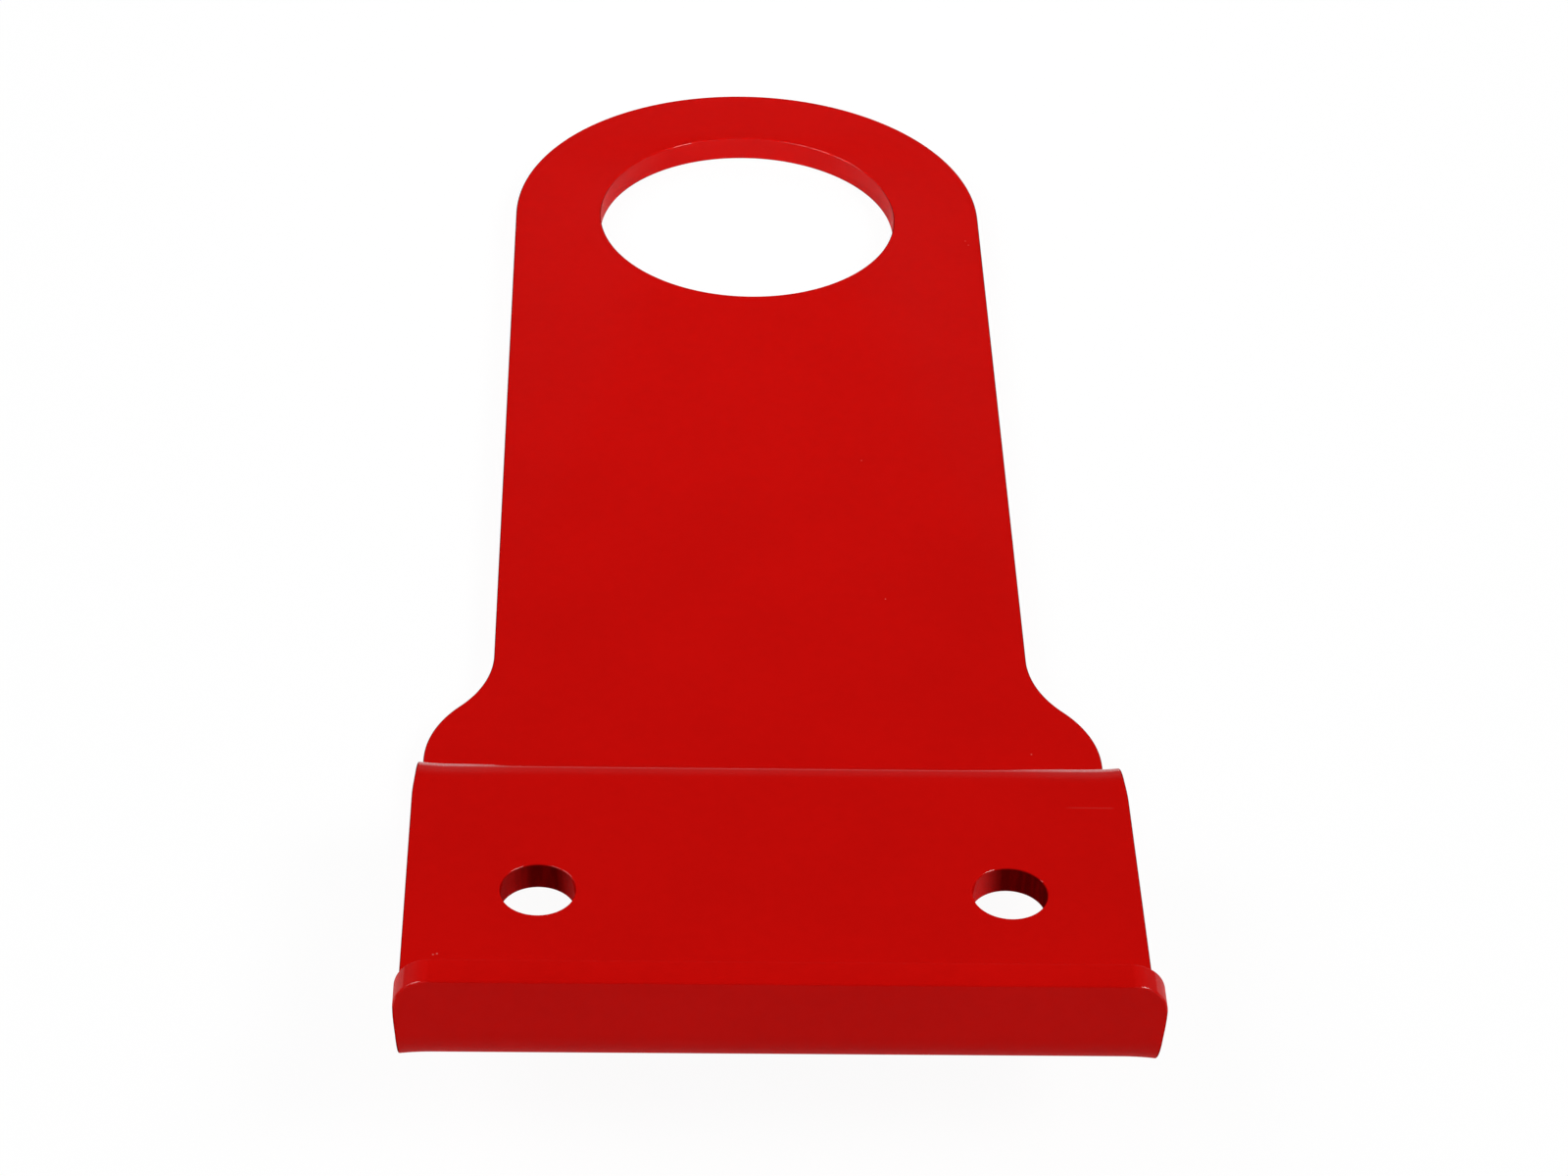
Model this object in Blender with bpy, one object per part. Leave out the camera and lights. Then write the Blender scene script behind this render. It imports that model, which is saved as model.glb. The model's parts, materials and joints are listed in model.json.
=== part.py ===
"""Recovery tow hook: one steel plate with a towing eye, two bolt holes, a step and a turned-up lip.

The plate is modelled the way it is made. A flat blank is cut with its holes, its edges are broken,
and then it is folded at three bends. All sizes are in metres. The origin is on the base's top face,
halfway between the bolt holes. +Y runs along the tongue to the eye, +X to the right and +Z up.
"""

import math

import bmesh
import bpy

# Plate and its broken edges
PLATE_THICKNESS = 0.005
EDGE_RADIUS = 0.0003

# Towing eye, and the plate left around it, which sets the tongue's width
EYE_DIAMETER = 0.060
EYE_RIM = 0.01725
TONGUE_STRAIGHT = 0.1462

# Shoulders, from the tongue's sides out to the base's sides, each a hollow arc and a round one
SHOULDER_STEP = 0.01125
SHOULDER_RADIUS = 0.0215

# Base, with its two bolt holes
BOLT_HOLE_DIAMETER = 0.012
BOLT_TO_SIDE = 0.021
BOLTS_TO_LIP_FACE = 0.0368
BOLTS_TO_RISER_FACE = 0.036
RISER_FACE_TO_SHOULDER = 0.0208

# Bends: inside radius, the flat of the step between its two bends, and the lip above the base
BEND_RADIUS = 0.003
RISER_FLAT = 0.0095
LIP_HEIGHT = 0.014
LIP_CORNER_RADIUS = 0.0055

# At each end of a bend the outer skin draws in, the inner skin swells, and the corner flares outwards
BEND_END_DRAW = 0.0006
BEND_END_SWELL = 0.0002
BEND_END_FLARE = 0.0003
BEND_END_REACH = 0.006

# Facets
EYE_SEGMENTS = 80
BOLT_HOLE_SEGMENTS = 36
END_SEGMENTS = 48
SHOULDER_SEGMENTS = 8
CORNER_SEGMENTS = 8
EDGE_BEVEL_RESOLUTION = 1
BEND_ROWS = 10
BEND_FADE_ROWS = 2
BEND_END_COLUMNS = 3

PART_NAME = "recovery_tow_hook"
PLATE_NAME = "tow_hook_plate"
POWDER_COAT_RED = (0.515, 0.0036, 0.0026, 1.0)
POWDER_COAT_ROUGHNESS = 0.22
SMOOTH_ANGLE = math.radians(50.0)
FLAT_ANGLE = math.radians(0.05)
WELD_DISTANCE = 0.00001
QUARTER_TURN = math.pi / 2

# Sizes that follow from the ones above
TONGUE_HALF_WIDTH = EYE_DIAMETER / 2 + EYE_RIM
BASE_HALF_WIDTH = TONGUE_HALF_WIDTH + SHOULDER_STEP
BOLT_OFFSET = BASE_HALF_WIDTH - BOLT_TO_SIDE
OUTER_BEND_RADIUS = BEND_RADIUS + PLATE_THICKNESS
BEND_LENGTH = QUARTER_TURN * (BEND_RADIUS + PLATE_THICKNESS / 2)


def arc(centre_x, centre_y, radius, start, end, segments):
    """Points along an arc, with both of its ends."""
    points = []
    for i in range(segments + 1):
        angle = start + (end - start) * i / segments
        points.append((centre_x + radius * math.cos(angle), centre_y + radius * math.sin(angle)))
    return points


def folded_runs():
    """The side view as (length, turn) runs, lip edge first. A positive turn bends the plate up."""
    lip = LIP_HEIGHT - BEND_RADIUS
    base = BOLTS_TO_LIP_FACE + BOLTS_TO_RISER_FACE - 2 * OUTER_BEND_RADIUS
    tongue = RISER_FACE_TO_SHOULDER - BEND_RADIUS + shoulder_length() + TONGUE_STRAIGHT + TONGUE_HALF_WIDTH
    return [
        (lip, 0.0),
        (BEND_LENGTH, QUARTER_TURN),
        (base, 0.0),
        (BEND_LENGTH, -QUARTER_TURN),
        (RISER_FLAT, 0.0),
        (BEND_LENGTH, QUARTER_TURN),
        (tongue, 0.0),
    ]


def run_starts():
    """Where each run starts along the blank."""
    starts = [0.0]
    for length, _ in folded_runs():
        starts.append(starts[-1] + length)
    return starts


def shoulder_turn():
    """Angle of each shoulder arc: the two meet on a tangent, or a square flank joins two quarter arcs."""
    return math.acos(max(0.0, 1 - SHOULDER_STEP / (2 * SHOULDER_RADIUS)))


def shoulder_length():
    """Length of a shoulder along the blank."""
    return 2 * SHOULDER_RADIUS * math.sin(shoulder_turn())


def blank_places():
    """Places along the blank: the bolt line, the foot of the shoulders and the eye's centre."""
    starts = run_starts()
    bolts = starts[2] + BOLTS_TO_LIP_FACE - OUTER_BEND_RADIUS
    shoulders = starts[6] + RISER_FACE_TO_SHOULDER - BEND_RADIUS
    eye = shoulders + shoulder_length() + TONGUE_STRAIGHT
    return bolts, shoulders, eye


def right_half_outline():
    """The blank's right side, from the lip's edge round to the tip of the eye end."""
    _, shoulders, eye = blank_places()
    corner = LIP_CORNER_RADIUS
    radius = SHOULDER_RADIUS
    turn = shoulder_turn()
    hollow_x = TONGUE_HALF_WIDTH + radius
    hollow_y = shoulders + shoulder_length()
    points = arc(BASE_HALF_WIDTH - corner, corner, corner, -QUARTER_TURN, 0.0, CORNER_SEGMENTS)
    points += arc(BASE_HALF_WIDTH - radius, shoulders, radius, 0.0, turn, SHOULDER_SEGMENTS)
    points += arc(hollow_x, hollow_y, radius, math.pi + turn, math.pi, SHOULDER_SEGMENTS)
    points += arc(0.0, eye, TONGUE_HALF_WIDTH, 0.0, QUARTER_TURN, END_SEGMENTS // 2)
    return points


def without_repeats(points):
    """The same points, leaving out any that lies on the one before it."""
    kept = [points[0]]
    for point in points[1:]:
        if math.dist(point, kept[-1]) > WELD_DISTANCE:
            kept.append(point)
    return kept


def blank_outline():
    """The whole outline, anticlockwise, with the left side mirrored from the right."""
    right = without_repeats(right_half_outline())
    left = [(-x, y) for x, y in reversed(right[:-1])]
    return right + left


def hole_outline(centre_x, centre_y, diameter, segments):
    """A round hole, clockwise, so that its edges are broken into the plate and not into the hole."""
    points = arc(centre_x, centre_y, diameter / 2, 2 * math.pi, 0.0, segments)
    return points[:-1]


def add_spline(curve, points):
    """Adds a closed flat outline to the curve."""
    spline = curve.splines.new("POLY")
    spline.points.add(len(points) - 1)
    for target, (x, y) in zip(spline.points, points):
        target.co = (x, y, 0.0, 1.0)
    spline.use_cyclic_u = True


def blank_curve():
    """The flat blank as a filled curve, with its holes and its rounded edges."""
    bolts, _, eye = blank_places()
    curve = bpy.data.curves.new("blank", "CURVE")
    curve.dimensions = "2D"
    curve.fill_mode = "BOTH"
    curve.extrude = PLATE_THICKNESS / 2 - EDGE_RADIUS
    curve.bevel_depth = EDGE_RADIUS
    curve.bevel_resolution = EDGE_BEVEL_RESOLUTION
    curve.offset = -EDGE_RADIUS
    add_spline(curve, blank_outline())
    add_spline(curve, hole_outline(0.0, eye, EYE_DIAMETER, EYE_SEGMENTS))
    for side in (-1, 1):
        add_spline(curve, hole_outline(side * BOLT_OFFSET, bolts, BOLT_HOLE_DIAMETER, BOLT_HOLE_SEGMENTS))
    return curve


def mesh_from_curve(curve):
    """The curve as a closed mesh, its caps welded to its sides."""
    flat = bpy.data.objects.new("blank", curve)
    bpy.context.scene.collection.objects.link(flat)
    depsgraph = bpy.context.evaluated_depsgraph_get()
    mesh = bpy.data.meshes.new_from_object(flat.evaluated_get(depsgraph))
    bpy.data.objects.remove(flat)
    bpy.data.curves.remove(curve)
    bm = bmesh.new()
    bm.from_mesh(mesh)
    bmesh.ops.remove_doubles(bm, verts=bm.verts, dist=WELD_DISTANCE)
    bpy.data.meshes.remove(mesh)
    return bm


def bend_spans():
    """Each bend along the blank: start, end and turn."""
    starts = run_starts()
    return [(starts[i], starts[i + 1], turn) for i, (_, turn) in enumerate(folded_runs()) if turn]


def cut_row(bm, place, axis, faces):
    """Splits the given faces along a line across the axis at the place."""
    edges = {edge for face in faces for edge in face.edges}
    verts = {vert for face in faces for vert in face.verts}
    geometry = list(verts) + list(edges) + list(faces)
    where = [0.0, 0.0, 0.0]
    where[axis] = place
    across = [0.0, 0.0, 0.0]
    across[axis] = 1.0
    bmesh.ops.bisect_plane(bm, geom=geometry, dist=WELD_DISTANCE, plane_co=where, plane_no=across)


def cut_bend_rows(bm):
    """Rows across the blank at each bend, and beside it where the distortion of the bend's ends fades."""
    for start, end, _ in bend_spans():
        rows = [start + (end - start) * i / BEND_ROWS for i in range(BEND_ROWS + 1)]
        for i in range(1, BEND_FADE_ROWS + 1):
            fade = PLATE_THICKNESS * i / BEND_FADE_ROWS
            rows += [start - fade, end + fade]
        for row in rows:
            cut_row(bm, row, 1, bm.faces[:])


def cut_end_columns(bm):
    """Short columns near both ends of each bend, closer together towards the plate's sides."""
    for start, end, _ in bend_spans():
        low = start - PLATE_THICKNESS - WELD_DISTANCE
        high = end + PLATE_THICKNESS + WELD_DISTANCE
        for i in range(1, BEND_END_COLUMNS + 1):
            place = BASE_HALF_WIDTH - BEND_END_REACH * (i / BEND_END_COLUMNS) ** 2
            for side in (-1, 1):
                faces = [face for face in bm.faces if all(low < vert.co.y < high for vert in face.verts)]
                cut_row(bm, side * place, 0, faces)


def end_distortion(x, y, height):
    """How a bend's end moves a point of the blank: in x, and along the plate's normal."""
    inset = BASE_HALF_WIDTH - abs(x)
    if inset >= BEND_END_REACH:
        return 0.0, 0.0
    nearness = (1 - max(inset, 0.0) / BEND_END_REACH) ** 2
    shift_x = 0.0
    shift_out = 0.0
    for start, end, turn in bend_spans():
        reach = (end - start) / 2 + PLATE_THICKNESS
        along = (y - (start + end) / 2) / reach
        if abs(along) < 1:
            strength = nearness * math.cos(along * QUARTER_TURN) ** 2
            outer = -math.copysign(1.0, turn)
            skin = outer * height / (PLATE_THICKNESS / 2)
            inwards = skin * (BEND_END_DRAW if skin > 0 else BEND_END_SWELL)
            shift_x -= math.copysign(1.0, x) * inwards * strength
            shift_out += outer * BEND_END_FLARE * strength
    return shift_x, shift_out


def folded_point(along, height):
    """Where a point of the blank goes, as (y, z), given its place along the blank and its height."""
    y = 0.0
    z = 0.0
    heading = -QUARTER_TURN
    runs = folded_runs()
    for number, (length, turn) in enumerate(runs, 1):
        step = along if number == len(runs) else min(along, length)
        if turn:
            radius = length / turn
            turned = heading + turn * step / length
            y += radius * (math.sin(turned) - math.sin(heading))
            z -= radius * (math.cos(turned) - math.cos(heading))
            heading = turned
        else:
            y += step * math.cos(heading)
            z += step * math.sin(heading)
        along -= step
        if along <= 0:
            break
    return y - height * math.sin(heading), z + height * math.cos(heading)


def merge_flat_faces(bm):
    """Turns the small triangles of each flat face into a few large faces."""
    bmesh.ops.dissolve_limit(bm, angle_limit=FLAT_ANGLE, verts=bm.verts, edges=bm.edges)


def fold(bm):
    """Folds the blank and puts the base's top face, halfway between the bolt holes, at the origin."""
    bolts, _, _ = blank_places()
    origin_y, origin_z = folded_point(bolts, PLATE_THICKNESS / 2)
    for vert in bm.verts:
        x, y, height = vert.co
        shift_x, shift_out = end_distortion(x, y, height)
        folded_y, folded_z = folded_point(y, height + shift_out)
        vert.co = (x + shift_x, folded_y - origin_y, folded_z - origin_z)


def powder_coat():
    """Glossy red powder coat."""
    material = bpy.data.materials.new("red_powder_coat")
    material.use_nodes = True
    shader = material.node_tree.nodes["Principled BSDF"]
    shader.inputs["Base Color"].default_value = POWDER_COAT_RED
    shader.inputs["Metallic"].default_value = 0.0
    shader.inputs["Roughness"].default_value = POWDER_COAT_ROUGHNESS
    material.diffuse_color = POWDER_COAT_RED
    return material


def tow_hook_plate(collection):
    """The finished plate, from its blank to its folded form."""
    bm = mesh_from_curve(blank_curve())
    merge_flat_faces(bm)
    cut_bend_rows(bm)
    cut_end_columns(bm)
    fold(bm)
    merge_flat_faces(bm)
    bmesh.ops.recalc_face_normals(bm, faces=bm.faces)
    mesh = bpy.data.meshes.new(PLATE_NAME)
    bm.to_mesh(mesh)
    bm.free()
    mesh.materials.append(powder_coat())
    mesh.shade_smooth()
    mesh.set_sharp_from_angle(angle=SMOOTH_ANGLE)
    plate = bpy.data.objects.new(PLATE_NAME, mesh)
    collection.objects.link(plate)
    return plate


def clear_scene():
    """Removes every object that the file opened with."""
    for obj in list(bpy.data.objects):
        bpy.data.objects.remove(obj)


def main():
    """Builds the tow hook in a collection of its own."""
    clear_scene()
    collection = bpy.data.collections.new(PART_NAME)
    bpy.context.scene.collection.children.link(collection)
    tow_hook_plate(collection)


main()
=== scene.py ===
"""Looks of the recovery tow hook: a finely rounded folded plate under glossy red powder coat.

The plate is cut as a flat blank, its edges are broken, and it is folded at three bends, like the real one.
All lengths are in metres. The origin is on the base's top face, halfway between the bolt holes, with +Y
along the tongue to the towing eye and +Z up.
"""

import json
import math

import bmesh
import bpy
from mathutils import Matrix, Vector


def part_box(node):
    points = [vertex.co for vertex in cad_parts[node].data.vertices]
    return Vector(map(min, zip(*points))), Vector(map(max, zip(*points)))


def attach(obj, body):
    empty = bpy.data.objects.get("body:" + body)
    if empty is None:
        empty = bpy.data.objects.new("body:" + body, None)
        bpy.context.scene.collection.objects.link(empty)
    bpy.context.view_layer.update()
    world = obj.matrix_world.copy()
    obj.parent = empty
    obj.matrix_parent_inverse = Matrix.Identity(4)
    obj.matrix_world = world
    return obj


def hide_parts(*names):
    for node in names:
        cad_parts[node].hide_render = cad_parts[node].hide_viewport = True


bl_info = {
    "name": "Recovery tow hook",
    "version": (1, 0, 0),
    "blender": (4, 5, 0),
    "location": "3D View > Sidebar > Tow Hook",
    "description": "Builds a folded steel tow hook, its powder coat and a plain studio stage",
    "category": "Add Mesh",
}

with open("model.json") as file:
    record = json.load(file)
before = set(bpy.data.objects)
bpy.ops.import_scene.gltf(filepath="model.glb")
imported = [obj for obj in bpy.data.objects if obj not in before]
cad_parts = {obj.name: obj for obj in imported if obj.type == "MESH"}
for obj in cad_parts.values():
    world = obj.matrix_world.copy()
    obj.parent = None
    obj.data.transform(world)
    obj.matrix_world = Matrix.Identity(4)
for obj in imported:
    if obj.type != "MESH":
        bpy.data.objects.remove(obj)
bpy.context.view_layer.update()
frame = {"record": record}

CAD_NODE = "tow_hook_plate"
CAD_BODY = "root"
PIECE_NAME = "folded_plate"
PLACE_LAYER = "blank_place"
SHARES_LAYER = "coat_shares"
SOCKET_KINDS = {"Place": "NodeSocketVector", "Colour": "NodeSocketColor"}
QUARTER_TURN = math.pi / 2
FULL_TURN = 2 * math.pi
WELD_DISTANCE = 0.00001
FLAT_ANGLE = math.radians(0.02)
STRONGEST_FACES = 100

# Shares of the coat's gloss. On the eye's wall: in the middle, at the sides, and how far out it starts
# to grow. At the ridge's ends: from x, to x, and how many times what its middle has over the full gloss.
EYE_WALL_GLOSS = (0.5, 1.6, 0.55)
LIP_GLOSS = 0.25
# What the underside gains over the length of the lip's bend.
UNDERSIDE_GAIN = 0.5
CORNER_GLOSS = 2.0
RIDGE_GLOSS = 1.4
RIDGE_ENDS = (0.038, 0.052, 3.0)
EDGE_GLOSS = 0.45
HOLE_GLOSS = 0.07
GLOSS_ROUGHNESS = 0.06
RIM_COAT_IOR = 1.9

# The middle part of a noise's values, which is spread over a whole range.
NOISE_SPAN = (0.3, 0.7)
FINE_DETAIL = 2.0
RIPPLE_SCALE = 3.7
RIPPLE_SHARE = 0.25
# Broad and fine mottle, as (scale, share).
MOTTLE = ((45.0, 0.6), (420.0, 0.4))
FACE_MOTTLE = 0.03
EDGE_MOTTLE = 0.04
ROUGHNESS_SPREAD = 0.02
HOLE_ROUGHNESS = 0.1
STREAK_STRETCH = 0.12
STREAK_COVER = (0.9, 1.05)

# Painted shade along the rounded rims, darker the more they turn away from the view: how much wider than
# the rim it is, how far a point faces away where it starts and where it is darkest, and its share there.
RIM_SHADE_WIDENING = 2.0
RIM_SHADE_FACING = (0.43, 0.6)
RIM_SHADE_SHARE = 0.95
# How much of each side of the bolt holes' walls is left undarkened. The darkening stands partly for thinner
# coat and is partly painted shade for how each side is lit. The share, where it starts and where it is
# reached, from the hole's middle to its side. The left hole comes first.
HOLE_COVER_AND_LIGHT = (
    ((0.55, 0.15, 0.75), (0.6, 0.5, 0.95)),
    ((1.0, 0.15, 0.7), (0.0, 0.5, 1.0)))

# Beads of coat along the rims: the grains that break them, and how far a point faces away where they fade.
GRAIN_SCALE = 350.0
GRAIN_SPAN = (0.42, 0.52)
BEAD_FACING = (0.3, 0.5)
LIP_EDGE_BEADS = 0.4
# The beads on the bolt holes' rims, as (start, end, share), in degrees round each hole: 0 is the side
# towards the eye and 90 the right side. The left hole comes first.
BOLT_RIM_BEADS = (
    ((-49, -30, 1.0), (-27, -23, 1.0), (18, 35, 0.6), (41, 76, 0.8)),
    ((-43, -22, 1.0), (57, 61, 1.0)))

NIB_SPACING = 0.011
NIB_SIZE = 0.0002
NIB_SHARE = 0.22
# Dust specks that the photograph shows on the top faces, as (x, y).
DUST_SPECKS = (
    (0.04425, 0.2233), (0.0448, 0.2218), (0.0202, 0.1462), (0.0464, 0.0595), (-0.0534, -0.0155),
    (-0.0528, -0.0153))
SPECK_SIZE = 0.00022
SPECK_SHARE = 0.4
# The part of a nib's or a speck's size where it is strongest.
DUST_CORE = 0.4
# The faint line that the press left on the base: from x, to x, and y, and how far in each end fades.
PRESS_LINE = (0.0475, 0.0562, 0.0211)
PRESS_LINE_FADES = (0.002, 0.001)
PRESS_LINE_WIDTH = 0.0002
PRESS_LINE_SHARE = 0.07

FLOOR_SIDES = 96
PAPER_WHITE = (0.96, 0.96, 0.96, 1.0)
MIRRORED_GLOW = 0.5
# Light of the surroundings from low down and from high up, and the heights where it changes.
LOW_LIGHT, HIGH_LIGHT = 0.21, 0.018
LIGHT_HEIGHTS = (0.25, 0.72)
# The lamps, as (place, aimed at, size).
PLATE_MIDDLE = (0.0, 0.1, 0.0)
LEFT_SOFTBOX = ((-1.0, -0.14, 1.0), PLATE_MIDDLE, (1.5, 0.8))
RIGHT_SOFTBOX = ((1.0, -0.45, 1.15), PLATE_MIDDLE, (0.85, 0.5))
BACK_LIGHT = ((0.1, 0.9, 0.35), (0.0, 0.15, 0.0), (1.2, 0.3))
EYE_SPOT = ((0.0, -0.35, 0.45), (0.0, 0.262, -0.02), (0.15, 0.15))
EYE_SPOT_SPREAD = math.radians(18)
# In millimetres, like the lens.
SENSOR_WIDTH = 36.0
NEAREST_SEEN, FARTHEST_SEEN = 0.01, 50.0


def named(entries, name):
    """The entry of the record that has that name."""
    for entry in entries:
        if entry["name"] == name:
            return entry
    raise RuntimeError(f"the record has nothing named {name}")


def mount_place(name):
    """Where the record says that a mount lies."""
    return Vector(named(frame["record"]["mounts"], name)["pos_m"])


def opening_middle(name):
    """The middle of an opening's box in the record."""
    low, high = named(frame["record"]["physics"]["openings"], name)["box_m"]
    return (Vector(low) + Vector(high)) / 2


PLATE_THICKNESS = mount_place("chassis_seat").z - mount_place("bolt_seat_right").z
TONGUE_DROP = mount_place("chassis_seat").z - mount_place("eye_face_upper").z
EYE_CENTRE = opening_middle("towing_eye").y
TONGUE_HALF_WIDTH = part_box(CAD_NODE)[1].y - EYE_CENTRE
BOLT_OFFSET = opening_middle("bolt_hole_right").x
LIP_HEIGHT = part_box(CAD_NODE)[1].z


class PlateSizes(bpy.types.PropertyGroup):
    """Sizes of the folded plate."""

    thickness: bpy.props.FloatProperty(
        name="Plate thickness", description="Thickness of the steel plate",
        default=PLATE_THICKNESS, min=0.0005, unit="LENGTH", precision=5)
    edge_radius: bpy.props.FloatProperty(
        name="Broken edge", description="Radius of the broken edges",
        default=0.0003, min=0.00005, unit="LENGTH", precision=5)
    eye_diameter: bpy.props.FloatProperty(
        name="Eye diameter", description="Diameter of the towing eye",
        default=0.060, min=0.005, unit="LENGTH", precision=4)
    eye_centre: bpy.props.FloatProperty(
        name="Eye from bolts", description="From the bolt line to the centre of the towing eye",
        default=EYE_CENTRE, min=0.05, unit="LENGTH", precision=4)
    tongue_half_width: bpy.props.FloatProperty(
        name="Tongue half width", description="Half the width of the tongue, and its end's radius",
        default=TONGUE_HALF_WIDTH, min=0.005, unit="LENGTH", precision=5)
    base_half_width: bpy.props.FloatProperty(
        name="Base half width", description="Half the width of the base and the lip",
        default=0.0585, min=0.005, unit="LENGTH", precision=5)
    shoulder_radius: bpy.props.FloatProperty(
        name="Shoulder radius", description="Radius of each of a shoulder's two arcs",
        default=0.0215, min=0.001, unit="LENGTH", precision=4)
    shoulder_foot: bpy.props.FloatProperty(
        name="Shoulders from bolts", description="From the bolt line to the foot of the shoulders",
        default=0.0568, min=0.01, unit="LENGTH", precision=4)
    bolt_hole_diameter: bpy.props.FloatProperty(
        name="Bolt hole diameter", description="Diameter of both bolt holes",
        default=0.012, min=0.001, unit="LENGTH", precision=4)
    bolt_offset: bpy.props.FloatProperty(
        name="Bolt offset", description="From the middle of the plate to each bolt hole",
        default=BOLT_OFFSET, min=0.005, unit="LENGTH", precision=4)
    bolts_to_lip_face: bpy.props.FloatProperty(
        name="Bolts to lip", description="From the bolt line to the lip's outer face",
        default=0.0368, min=0.01, unit="LENGTH", precision=4)
    bolts_to_riser_face: bpy.props.FloatProperty(
        name="Bolts to riser", description="From the bolt line to the riser's outer face",
        default=0.036, min=0.01, unit="LENGTH", precision=4)
    bend_radius: bpy.props.FloatProperty(
        name="Bend radius", description="Inside radius of every bend",
        default=0.003, min=0.0005, unit="LENGTH", precision=4)
    tongue_drop: bpy.props.FloatProperty(
        name="Tongue drop", description="From the base's top face down to the tongue's top face",
        default=TONGUE_DROP, min=0.005, unit="LENGTH", precision=4)
    lip_height: bpy.props.FloatProperty(
        name="Lip height", description="From the base's top face up to the lip's edge",
        default=LIP_HEIGHT, min=0.005, unit="LENGTH", precision=4)
    lip_corner_radius: bpy.props.FloatProperty(
        name="Lip corner radius", description="Radius of the lip's two corners",
        default=0.0055, min=0.0005, unit="LENGTH", precision=4)
    end_draw: bpy.props.FloatProperty(
        name="Bend end draw", description="How far the outer skin draws in at a bend's ends",
        default=0.0006, min=0.0, unit="LENGTH", precision=5)
    end_swell: bpy.props.FloatProperty(
        name="Bend end swell", description="How far the inner skin swells at a bend's ends",
        default=0.0002, min=0.0, unit="LENGTH", precision=5)
    end_flare: bpy.props.FloatProperty(
        name="Bend end flare", description="How far a bend's corners stand out",
        default=0.000296, min=0.0, unit="LENGTH", precision=6)
    end_reach: bpy.props.FloatProperty(
        name="Bend end reach", description="How far in from its ends a bend is distorted",
        default=0.006, min=0.0005, unit="LENGTH", precision=4)


class PlateFacets(bpy.types.PropertyGroup):
    """How finely the plate is divided."""

    eye: bpy.props.IntProperty(
        name="Eye", description="Segments round the towing eye", default=192, min=16)
    bolt_hole: bpy.props.IntProperty(
        name="Bolt hole", description="Segments round each bolt hole", default=96, min=12)
    tongue_end: bpy.props.IntProperty(
        name="Tongue end", description="Segments round half of the tongue's end", default=72, min=8)
    shoulder: bpy.props.IntProperty(
        name="Shoulder", description="Segments along each arc of a shoulder", default=20, min=2)
    lip_corner: bpy.props.IntProperty(
        name="Lip corner", description="Segments round each corner of the lip", default=24, min=2)
    edge: bpy.props.IntProperty(
        name="Broken edge", description="Divisions across a broken edge", default=3, min=1)
    bend: bpy.props.IntProperty(
        name="Bend", description="Rows across each bend", default=30, min=4)
    bend_fade: bpy.props.IntProperty(
        name="Beside a bend", description="Rows on each side of a bend", default=6, min=1)
    bend_end: bpy.props.IntProperty(
        name="Bend end", description="Columns near each end of a bend", default=9, min=1)


class CoatLooks(bpy.types.PropertyGroup):
    """Colours and finish of the powder coat."""

    red: bpy.props.FloatVectorProperty(
        name="Red", description="Colour of the powder coat on the faces",
        default=(0.515, 0.0030, 0.0020), size=3, min=0.0, max=1.0, subtype="COLOR")
    # Painted light: a lighter copy of the red, on the eye's wall, the lip's corners and edge, and in the
    # bolt holes.
    edge_red_painted_lighter: bpy.props.FloatVectorProperty(
        name="Edge red", description="Colour of the powder coat in the holes and on the lip's corners",
        default=(0.56, 0.0036, 0.0026), size=3, min=0.0, max=1.0, subtype="COLOR")
    # Painted shade: the dark red towards which rims darken as they turn away from the view. In the bolt
    # holes it stands for thinner coat and painted shade.
    thin_coat_and_shade_red: bpy.props.FloatVectorProperty(
        name="Thin red", description="Colour where the coat is thin, on edges and in the bolt holes",
        default=(0.11, 0.0008, 0.0008), size=3, min=0.0, max=1.0, subtype="COLOR")
    dust: bpy.props.FloatVectorProperty(
        name="Dust", description="Colour of the dust nibs in the coat",
        default=(0.75, 0.25, 0.22), size=3, min=0.0, max=1.0, subtype="COLOR")
    roughness: bpy.props.FloatProperty(
        name="Roughness", description="Roughness of the cured coat", default=0.2, min=0.0, max=1.0)
    specular: bpy.props.FloatProperty(
        name="Specular level", description="Shine of the red itself, under the clear gloss",
        default=0.0, min=0.0, max=1.0)
    gloss: bpy.props.FloatProperty(
        name="Gloss", description="Clear gloss where the coat has flowed out smoothly",
        default=0.25, min=0.0, max=1.0)
    glint_gloss: bpy.props.FloatProperty(
        name="Glint gloss", description="Clear gloss of the beads along the rims",
        default=0.6, min=0.0, max=1.0)
    peel_size: bpy.props.FloatProperty(
        name="Orange peel size", description="Length of the coat's waves",
        default=0.0022, min=0.0002, unit="LENGTH", precision=5)
    peel_depth: bpy.props.FloatProperty(
        name="Orange peel depth", description="Height of the coat's waves",
        default=0.000007, min=0.0, unit="LENGTH", precision=6)
    streak_pitch: bpy.props.FloatProperty(
        name="Cut streak pitch", description="Distance between the streaks left by cutting",
        default=0.0007, min=0.0001, unit="LENGTH", precision=5)
    streak_depth: bpy.props.FloatProperty(
        name="Cut streak depth", description="Depth of the streaks left by cutting",
        default=0.00003, min=0.0, unit="LENGTH", precision=6)


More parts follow.
